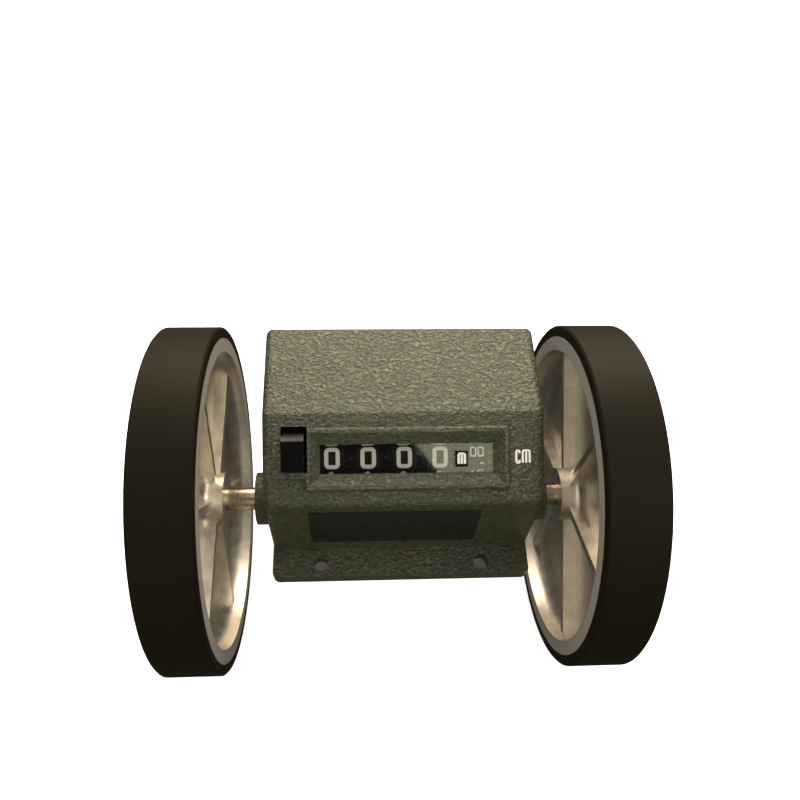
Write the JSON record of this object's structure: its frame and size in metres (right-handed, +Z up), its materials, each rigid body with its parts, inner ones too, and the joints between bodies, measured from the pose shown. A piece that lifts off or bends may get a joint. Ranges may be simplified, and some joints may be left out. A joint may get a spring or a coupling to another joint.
{
  "type": "cable length counter",
  "caption": "Roller length counter: console housing on a flanged base, drum counter behind a window, reset key, and an axle with two rubber-tyred measuring wheels.",
  "frame": {"origin": "centre of the four fixing holes, on the underside of the base flange", "axes": "+X along the axle, to the right as the dial is read; +Y to the back; +Z up, out of the base"},
  "size_m": [0.135, 0.1062, 0.106],
  "materials": {
    "casting_paint": "grey-green hammertone enamel",
    "cast_aluminium": "die cast, rim faces turned",
    "tyre_rubber": "moulded and ground black rubber",
    "ground_steel": "ground bright steel",
    "plated_steel": "zinc plated sheet steel",
    "brass_gear": "hobbed brass",
    "bush_bronze": "oiled sintered bronze",
    "drum_plastic": "black moulded drums with white figures",
    "pinion_plastic": "white moulded acetal",
    "key_plastic": "black moulded plastic",
    "lens_plastic": "clear moulded window",
    "tag_card": "black tag with a white unit letter",
    "plate_enamel": "bare black plate"
  },
  "bodies": {
    "casing": {"housing": "casting_paint", "base_plate": "plated_steel", "base_screws": "plated_steel", "window_lens": "lens_plastic", "unit_tag": "tag_card", "nameplate": "plate_enamel", "left_bush": "bush_bronze", "right_bush": "bush_bronze", "movement_frame": "plated_steel", "frame_screws": "plated_steel", "drum_shaft": "ground_steel", "drum_spacers": "plated_steel", "pinion_shaft": "ground_steel", "idler_stub": "ground_steel", "shaft_circlips": "plated_steel", "lever_pin": "ground_steel"},
    "roller_axle": {"axle": "ground_steel", "left_wheel": "cast_aluminium", "right_wheel": "cast_aluminium", "left_tyre": "tyre_rubber", "right_tyre": "tyre_rubber", "wheel_set_screws": "plated_steel", "axle_collars": "ground_steel", "drive_gear": "brass_gear"},
    "idler": {"idler_gear": "brass_gear", "idler_pinion": "brass_gear"},
    "centimetre_wheel": {"centimetre_drum": "drum_plastic", "centimetre_gear": "brass_gear"},
    "units_wheel": {"units_drum": "drum_plastic"},
    "tens_wheel": {"tens_drum": "drum_plastic"},
    "hundreds_wheel": {"hundreds_drum": "drum_plastic"},
    "thousands_wheel": {"thousands_drum": "drum_plastic"},
    "units_transfer": {"units_pinion": "pinion_plastic"},
    "tens_transfer": {"tens_pinion": "pinion_plastic"},
    "hundreds_transfer": {"hundreds_pinion": "pinion_plastic"},
    "thousands_transfer": {"thousands_pinion": "pinion_plastic"},
    "reset_key_lever": {"reset_key": "key_plastic", "reset_lever": "plated_steel", "reset_spring": "plated_steel"},
    "reset_comb_rod": {"comb_rod": "ground_steel", "reset_comb": "plated_steel", "comb_arm": "plated_steel"}
  },
  "joints": [
    {"name": "axle_spin", "type": "hinge", "parent": "casing", "child": "roller_axle", "pos_m": [0, -0.014, 0.0155], "axis": [1, 0, 0], "continuous": true},
    {"name": "idler_spin", "type": "hinge", "parent": "casing", "child": "idler", "pos_m": [0, -0.00002, 0.01622], "axis": [1, 0, 0], "continuous": true},
    {"name": "centimetre_spin", "type": "hinge", "parent": "casing", "child": "centimetre_wheel", "pos_m": [0, -0.0071, 0.0291], "axis": [1, 0, 0], "continuous": true},
    {"name": "units_spin", "type": "hinge", "parent": "casing", "child": "units_wheel", "pos_m": [0, -0.0071, 0.0291], "axis": [1, 0, 0], "continuous": true},
    {"name": "units_transfer_spin", "type": "hinge", "parent": "casing", "child": "units_transfer", "pos_m": [0, 0.00524, 0.02657], "axis": [1, 0, 0], "continuous": true},
    {"name": "tens_spin", "type": "hinge", "parent": "casing", "child": "tens_wheel", "pos_m": [0, -0.0071, 0.0291], "axis": [1, 0, 0], "continuous": true},
    {"name": "tens_transfer_spin", "type": "hinge", "parent": "casing", "child": "tens_transfer", "pos_m": [0, 0.00524, 0.02657], "axis": [1, 0, 0], "continuous": true},
    {"name": "hundreds_spin", "type": "hinge", "parent": "casing", "child": "hundreds_wheel", "pos_m": [0, -0.0071, 0.0291], "axis": [1, 0, 0], "continuous": true},
    {"name": "hundreds_transfer_spin", "type": "hinge", "parent": "casing", "child": "hundreds_transfer", "pos_m": [0, 0.00524, 0.02657], "axis": [1, 0, 0], "continuous": true},
    {"name": "thousands_spin", "type": "hinge", "parent": "casing", "child": "thousands_wheel", "pos_m": [0, -0.0071, 0.0291], "axis": [1, 0, 0], "continuous": true},
    {"name": "thousands_transfer_spin", "type": "hinge", "parent": "casing", "child": "thousands_transfer", "pos_m": [0, 0.00524, 0.02657], "axis": [1, 0, 0], "continuous": true},
    {"name": "reset_press", "type": "hinge", "parent": "casing", "child": "reset_key_lever", "pos_m": [0, -0.0015, 0.0215], "axis": [1, 0, 0], "range_deg": [0, 5.5], "stiffness_Nm_per_rad": 0.02, "springref_deg": -17.19},
    {"name": "comb_rock", "type": "hinge", "parent": "casing", "child": "reset_comb_rod", "pos_m": [0, 0.0095, 0.0375], "axis": [1, 0, 0], "range_deg": [-8, 0]}
  ],
  "couplings": [
    {"joint": "idler_spin", "follows": "axle_spin", "ratio": -0.66667},
    {"joint": "centimetre_spin", "follows": "axle_spin", "ratio": 0.33333},
    {"joint": "units_spin", "follows": "axle_spin", "ratio": 0.033333},
    {"joint": "units_transfer_spin", "follows": "axle_spin", "ratio": -0.083333},
    {"joint": "tens_spin", "follows": "axle_spin", "ratio": 0.0033333},
    {"joint": "tens_transfer_spin", "follows": "axle_spin", "ratio": -0.0083333},
    {"joint": "hundreds_spin", "follows": "axle_spin", "ratio": 0.00033333},
    {"joint": "hundreds_transfer_spin", "follows": "axle_spin", "ratio": -0.00083333},
    {"joint": "thousands_spin", "follows": "axle_spin", "ratio": 0.000033333},
    {"joint": "thousands_transfer_spin", "follows": "axle_spin", "ratio": -0.000083333},
    {"joint": "comb_rock", "follows": "reset_press", "ratio": -1.4}
  ]
}
